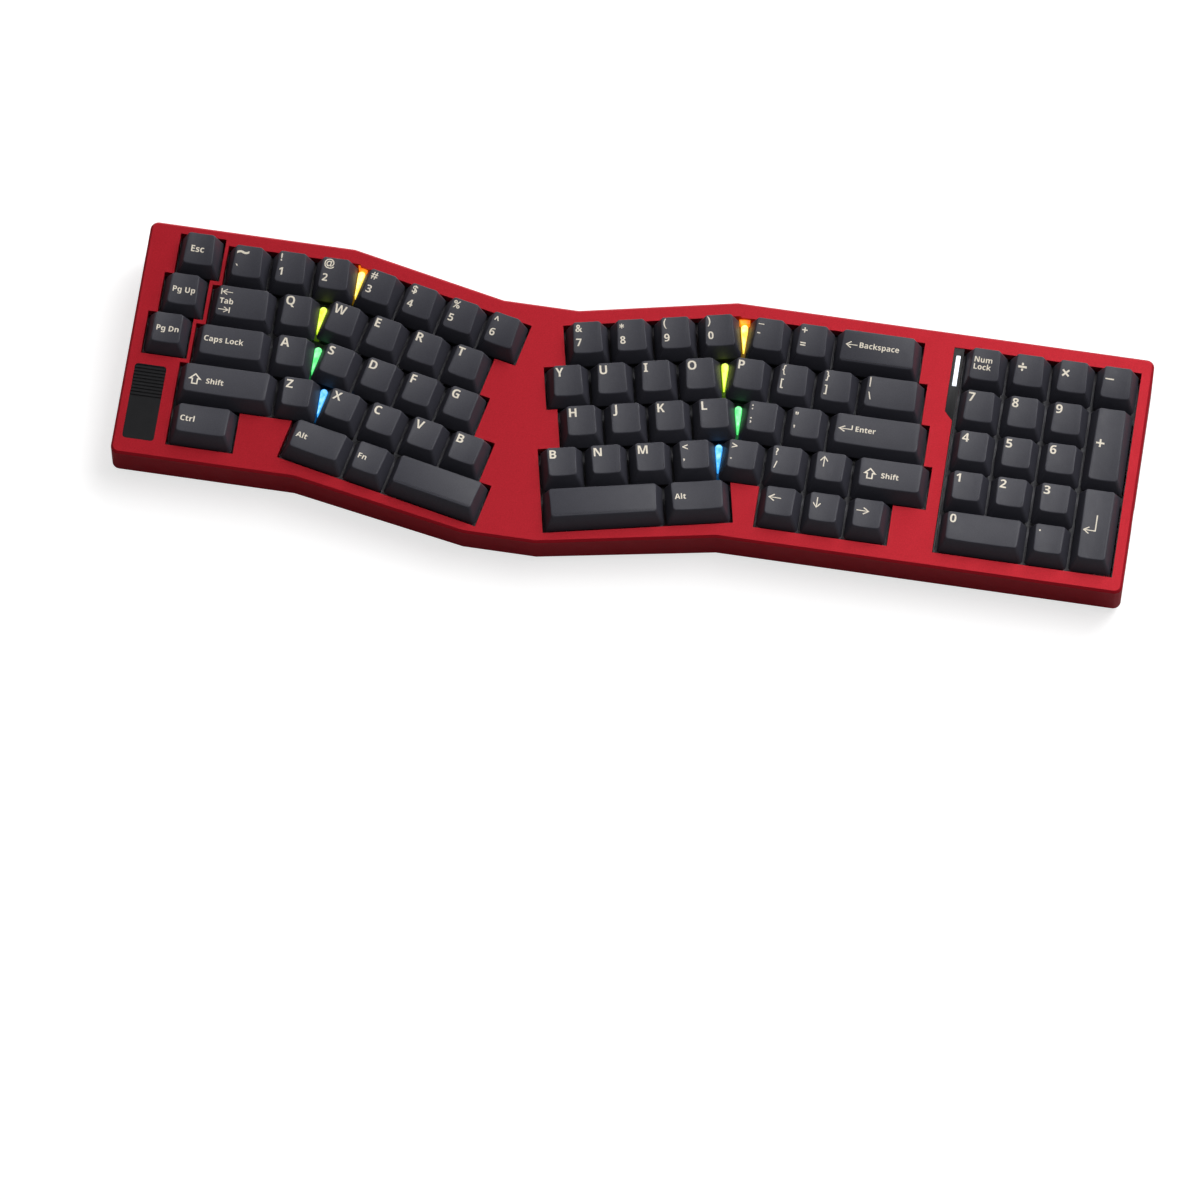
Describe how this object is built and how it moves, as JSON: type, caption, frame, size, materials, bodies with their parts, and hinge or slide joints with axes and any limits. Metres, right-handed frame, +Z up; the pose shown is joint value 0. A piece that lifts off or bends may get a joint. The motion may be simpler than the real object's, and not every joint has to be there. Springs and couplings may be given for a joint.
{
  "type": "ergonomic mechanical keyboard",
  "caption": "Low full-width mechanical keyboard with letter fields turned outwards, a number block, sloping metal case and rear wedge.",
  "frame": {"origin": "centre of the bounding box in plan, on the desk plane under the feet", "axes": "+X to the user's right along the keyboard's width, +Y to the rear away from the user, +Z up from the desk"},
  "size_m": [0.44, 0.127, 0.0423],
  "materials": {
    "red_anodised_aluminium": "bead blasted and anodised, satin",
    "black_anodised_aluminium": "bead blasted and anodised, satin",
    "brushed_bar": "brushed and anodised",
    "cap_plastic": "fine moulded texture, matt",
    "rubber_feet": "matt moulded rubber",
    "ridged_panel": "satin black",
    "gloss_black_trim": "polished",
    "indicator_lens": "translucent, lit from behind",
    "light_guides": "translucent, lit from below",
    "coated_steel_plate": "powder coated, matt black",
    "switch_housing_plastic": "moulded nylon, satin",
    "stabiliser_housing_plastic": "moulded nylon, satin",
    "spring_steel_wire": "drawn and plated",
    "circuit_board": "solder mask, satin",
    "case_foam": "open-cell foam, matt",
    "gasket_foam": "closed-cell foam, matt",
    "socket_metal": "drawn shell, nickel plated",
    "black_screws": "black oxide"
  },
  "bodies": {
    "case": {"top_case": "red_anodised_aluminium", "bottom_case": "red_anodised_aluminium", "base_plate": "black_anodised_aluminium", "ribbed_bar": "brushed_bar", "rubber_feet": "rubber_feet", "front_pad": "rubber_feet", "switch_plate": "coated_steel_plate", "circuit_board": "circuit_board", "switch_housings": "switch_housing_plastic", "stabiliser_housings": "stabiliser_housing_plastic", "stabiliser_wires": "spring_steel_wire", "gasket_strips": "gasket_foam", "case_foam": "case_foam", "badge_panel": "ridged_panel", "light_guides": "light_guides", "indicator_trim": "gloss_black_trim", "indicator_lens": "indicator_lens", "usb_socket": "socket_metal", "case_screws": "black_screws"},
    "key_escape": {"key_escape": "cap_plastic"},
    "key_page_up": {"key_page_up": "cap_plastic"},
    "key_page_down": {"key_page_down": "cap_plastic"},
    "keys_tilde_1_2": {"keys_tilde_1_2": "cap_plastic"},
    "key_tab": {"key_tab": "cap_plastic"},
    "key_q": {"key_q": "cap_plastic"},
    "key_caps_lock": {"key_caps_lock": "cap_plastic"},
    "key_a": {"key_a": "cap_plastic"},
    "key_shift_left": {"key_shift_left": "cap_plastic"},
    "key_z": {"key_z": "cap_plastic"},
    "key_ctrl": {"key_ctrl": "cap_plastic"},
    "keys_3_to_6": {"keys_3_to_6": "cap_plastic"},
    "keys_w_to_t": {"keys_w_to_t": "cap_plastic"},
    "keys_s_to_g": {"keys_s_to_g": "cap_plastic"},
    "keys_x_to_b": {"keys_x_to_b": "cap_plastic"},
    "key_alt_left": {"key_alt_left": "cap_plastic"},
    "key_meta": {"key_meta": "cap_plastic"},
    "key_space_left": {"key_space_left": "cap_plastic"},
    "keys_7_to_0": {"keys_7_to_0": "cap_plastic"},
    "keys_y_to_o": {"keys_y_to_o": "cap_plastic"},
    "keys_h_to_l": {"keys_h_to_l": "cap_plastic"},
    "keys_b_to_comma": {"keys_b_to_comma": "cap_plastic"},
    "key_space_right": {"key_space_right": "cap_plastic"},
    "key_alt_right": {"key_alt_right": "cap_plastic"},
    "keys_minus_equals": {"keys_minus_equals": "cap_plastic"},
    "key_backspace": {"key_backspace": "cap_plastic"},
    "keys_p_to_bracket": {"keys_p_to_bracket": "cap_plastic"},
    "key_backslash": {"key_backslash": "cap_plastic"},
    "keys_semicolon_quote": {"keys_semicolon_quote": "cap_plastic"},
    "key_enter": {"key_enter": "cap_plastic"},
    "keys_dot_slash_up": {"keys_dot_slash_up": "cap_plastic"},
    "key_shift_right": {"key_shift_right": "cap_plastic"},
    "keys_arrows": {"keys_arrows": "cap_plastic"},
    "keys_num_top": {"keys_num_top": "cap_plastic"},
    "keys_num_7_8_9": {"keys_num_7_8_9": "cap_plastic"},
    "keys_num_4_5_6": {"keys_num_4_5_6": "cap_plastic"},
    "keys_num_1_2_3": {"keys_num_1_2_3": "cap_plastic"},
    "key_num_0": {"key_num_0": "cap_plastic"},
    "key_num_dot": {"key_num_dot": "cap_plastic"},
    "key_num_plus": {"key_num_plus": "cap_plastic"},
    "key_num_enter": {"key_num_enter": "cap_plastic"}
  },
  "joints": [
    {"name": "key_escape_press", "type": "slide", "parent": "case", "child": "key_escape", "axis": [0, 0.1132, -0.9936], "range_m": [0, 0.0036], "stiffness_N_per_m": 90, "springref_m": -0.004},
    {"name": "key_page_up_press", "type": "slide", "parent": "case", "child": "key_page_up", "axis": [0, 0.1132, -0.9936], "range_m": [0, 0.0036], "stiffness_N_per_m": 90, "springref_m": -0.004},
    {"name": "key_page_down_press", "type": "slide", "parent": "case", "child": "key_page_down", "axis": [0, 0.1132, -0.9936], "range_m": [0, 0.0036], "stiffness_N_per_m": 90, "springref_m": -0.004},
    {"name": "keys_tilde_1_2_press", "type": "slide", "parent": "case", "child": "keys_tilde_1_2", "axis": [0, 0.1132, -0.9936], "range_m": [0, 0.0036], "stiffness_N_per_m": 90, "springref_m": -0.004},
    {"name": "key_tab_press", "type": "slide", "parent": "case", "child": "key_tab", "axis": [0, 0.1132, -0.9936], "range_m": [0, 0.0036], "stiffness_N_per_m": 90, "springref_m": -0.004},
    {"name": "key_q_press", "type": "slide", "parent": "case", "child": "key_q", "axis": [0, 0.1132, -0.9936], "range_m": [0, 0.0036], "stiffness_N_per_m": 90, "springref_m": -0.004},
    {"name": "key_caps_lock_press", "type": "slide", "parent": "case", "child": "key_caps_lock", "axis": [0, 0.1132, -0.9936], "range_m": [0, 0.0036], "stiffness_N_per_m": 90, "springref_m": -0.004},
    {"name": "key_a_press", "type": "slide", "parent": "case", "child": "key_a", "axis": [0, 0.1132, -0.9936], "range_m": [0, 0.0036], "stiffness_N_per_m": 90, "springref_m": -0.004},
    {"name": "key_shift_left_press", "type": "slide", "parent": "case", "child": "key_shift_left", "axis": [0, 0.1132, -0.9936], "range_m": [0, 0.0036], "stiffness_N_per_m": 90, "springref_m": -0.004},
    {"name": "key_z_press", "type": "slide", "parent": "case", "child": "key_z", "axis": [0, 0.1132, -0.9936], "range_m": [0, 0.0036], "stiffness_N_per_m": 90, "springref_m": -0.004},
    {"name": "key_ctrl_press", "type": "slide", "parent": "case", "child": "key_ctrl", "axis": [0, 0.1132, -0.9936], "range_m": [0, 0.0036], "stiffness_N_per_m": 90, "springref_m": -0.004},
    {"name": "keys_3_to_6_press", "type": "slide", "parent": "case", "child": "keys_3_to_6", "axis": [0, 0.1132, -0.9936], "range_m": [0, 0.0036], "stiffness_N_per_m": 90, "springref_m": -0.004},
    {"name": "keys_w_to_t_press", "type": "slide", "parent": "case", "child": "keys_w_to_t", "axis": [0, 0.1132, -0.9936], "range_m": [0, 0.0036], "stiffness_N_per_m": 90, "springref_m": -0.004},
    {"name": "keys_s_to_g_press", "type": "slide", "parent": "case", "child": "keys_s_to_g", "axis": [0, 0.1132, -0.9936], "range_m": [0, 0.0036], "stiffness_N_per_m": 90, "springref_m": -0.004},
    {"name": "keys_x_to_b_press", "type": "slide", "parent": "case", "child": "keys_x_to_b", "axis": [0, 0.1132, -0.9936], "range_m": [0, 0.0036], "stiffness_N_per_m": 90, "springref_m": -0.004},
    {"name": "key_alt_left_press", "type": "slide", "parent": "case", "child": "key_alt_left", "axis": [0, 0.1132, -0.9936], "range_m": [0, 0.0036], "stiffness_N_per_m": 90, "springref_m": -0.004},
    {"name": "key_meta_press", "type": "slide", "parent": "case", "child": "key_meta", "axis": [0, 0.1132, -0.9936], "range_m": [0, 0.0036], "stiffness_N_per_m": 90, "springref_m": -0.004},
    {"name": "key_space_left_press", "type": "slide", "parent": "case", "child": "key_space_left", "axis": [0, 0.1132, -0.9936], "range_m": [0, 0.0036], "stiffness_N_per_m": 90, "springref_m": -0.004},
    {"name": "keys_7_to_0_press", "type": "slide", "parent": "case", "child": "keys_7_to_0", "axis": [0, 0.1132, -0.9936], "range_m": [0, 0.0036], "stiffness_N_per_m": 90, "springref_m": -0.004},
    {"name": "keys_y_to_o_press", "type": "slide", "parent": "case", "child": "keys_y_to_o", "axis": [0, 0.1132, -0.9936], "range_m": [0, 0.0036], "stiffness_N_per_m": 90, "springref_m": -0.004},
    {"name": "keys_h_to_l_press", "type": "slide", "parent": "case", "child": "keys_h_to_l", "axis": [0, 0.1132, -0.9936], "range_m": [0, 0.0036], "stiffness_N_per_m": 90, "springref_m": -0.004},
    {"name": "keys_b_to_comma_press", "type": "slide", "parent": "case", "child": "keys_b_to_comma", "axis": [0, 0.1132, -0.9936], "range_m": [0, 0.0036], "stiffness_N_per_m": 90, "springref_m": -0.004},
    {"name": "key_space_right_press", "type": "slide", "parent": "case", "child": "key_space_right", "axis": [0, 0.1132, -0.9936], "range_m": [0, 0.0036], "stiffness_N_per_m": 90, "springref_m": -0.004},
    {"name": "key_alt_right_press", "type": "slide", "parent": "case", "child": "key_alt_right", "axis": [0, 0.1132, -0.9936], "range_m": [0, 0.0036], "stiffness_N_per_m": 90, "springref_m": -0.004},
    {"name": "keys_minus_equals_press", "type": "slide", "parent": "case", "child": "keys_minus_equals", "axis": [0, 0.1132, -0.9936], "range_m": [0, 0.0036], "stiffness_N_per_m": 90, "springref_m": -0.004},
    {"name": "key_backspace_press", "type": "slide", "parent": "case", "child": "key_backspace", "axis": [0, 0.1132, -0.9936], "range_m": [0, 0.0036], "stiffness_N_per_m": 90, "springref_m": -0.004},
    {"name": "keys_p_to_bracket_press", "type": "slide", "parent": "case", "child": "keys_p_to_bracket", "axis": [0, 0.1132, -0.9936], "range_m": [0, 0.0036], "stiffness_N_per_m": 90, "springref_m": -0.004},
    {"name": "key_backslash_press", "type": "slide", "parent": "case", "child": "key_backslash", "axis": [0, 0.1132, -0.9936], "range_m": [0, 0.0036], "stiffness_N_per_m": 90, "springref_m": -0.004},
    {"name": "keys_semicolon_quote_press", "type": "slide", "parent": "case", "child": "keys_semicolon_quote", "axis": [0, 0.1132, -0.9936], "range_m": [0, 0.0036], "stiffness_N_per_m": 90, "springref_m": -0.004},
    {"name": "key_enter_press", "type": "slide", "parent": "case", "child": "key_enter", "axis": [0, 0.1132, -0.9936], "range_m": [0, 0.0036], "stiffness_N_per_m": 90, "springref_m": -0.004},
    {"name": "keys_dot_slash_up_press", "type": "slide", "parent": "case", "child": "keys_dot_slash_up", "axis": [0, 0.1132, -0.9936], "range_m": [0, 0.0036], "stiffness_N_per_m": 90, "springref_m": -0.004},
    {"name": "key_shift_right_press", "type": "slide", "parent": "case", "child": "key_shift_right", "axis": [0, 0.1132, -0.9936], "range_m": [0, 0.0036], "stiffness_N_per_m": 90, "springref_m": -0.004},
    {"name": "keys_arrows_press", "type": "slide", "parent": "case", "child": "keys_arrows", "axis": [0, 0.1132, -0.9936], "range_m": [0, 0.0036], "stiffness_N_per_m": 90, "springref_m": -0.004},
    {"name": "keys_num_top_press", "type": "slide", "parent": "case", "child": "keys_num_top", "axis": [0, 0.1132, -0.9936], "range_m": [0, 0.0036], "stiffness_N_per_m": 90, "springref_m": -0.004},
    {"name": "keys_num_7_8_9_press", "type": "slide", "parent": "case", "child": "keys_num_7_8_9", "axis": [0, 0.1132, -0.9936], "range_m": [0, 0.0036], "stiffness_N_per_m": 90, "springref_m": -0.004},
    {"name": "keys_num_4_5_6_press", "type": "slide", "parent": "case", "child": "keys_num_4_5_6", "axis": [0, 0.1132, -0.9936], "range_m": [0, 0.0036], "stiffness_N_per_m": 90, "springref_m": -0.004},
    {"name": "keys_num_1_2_3_press", "type": "slide", "parent": "case", "child": "keys_num_1_2_3", "axis": [0, 0.1132, -0.9936], "range_m": [0, 0.0036], "stiffness_N_per_m": 90, "springref_m": -0.004},
    {"name": "key_num_0_press", "type": "slide", "parent": "case", "child": "key_num_0", "axis": [0, 0.1132, -0.9936], "range_m": [0, 0.0036], "stiffness_N_per_m": 90, "springref_m": -0.004},
    {"name": "key_num_dot_press", "type": "slide", "parent": "case", "child": "key_num_dot", "axis": [0, 0.1132, -0.9936], "range_m": [0, 0.0036], "stiffness_N_per_m": 90, "springref_m": -0.004},
    {"name": "key_num_plus_press", "type": "slide", "parent": "case", "child": "key_num_plus", "axis": [0, 0.1132, -0.9936], "range_m": [0, 0.0036], "stiffness_N_per_m": 90, "springref_m": -0.004},
    {"name": "key_num_enter_press", "type": "slide", "parent": "case", "child": "key_num_enter", "axis": [0, 0.1132, -0.9936], "range_m": [0, 0.0036], "stiffness_N_per_m": 90, "springref_m": -0.004}
  ]
}
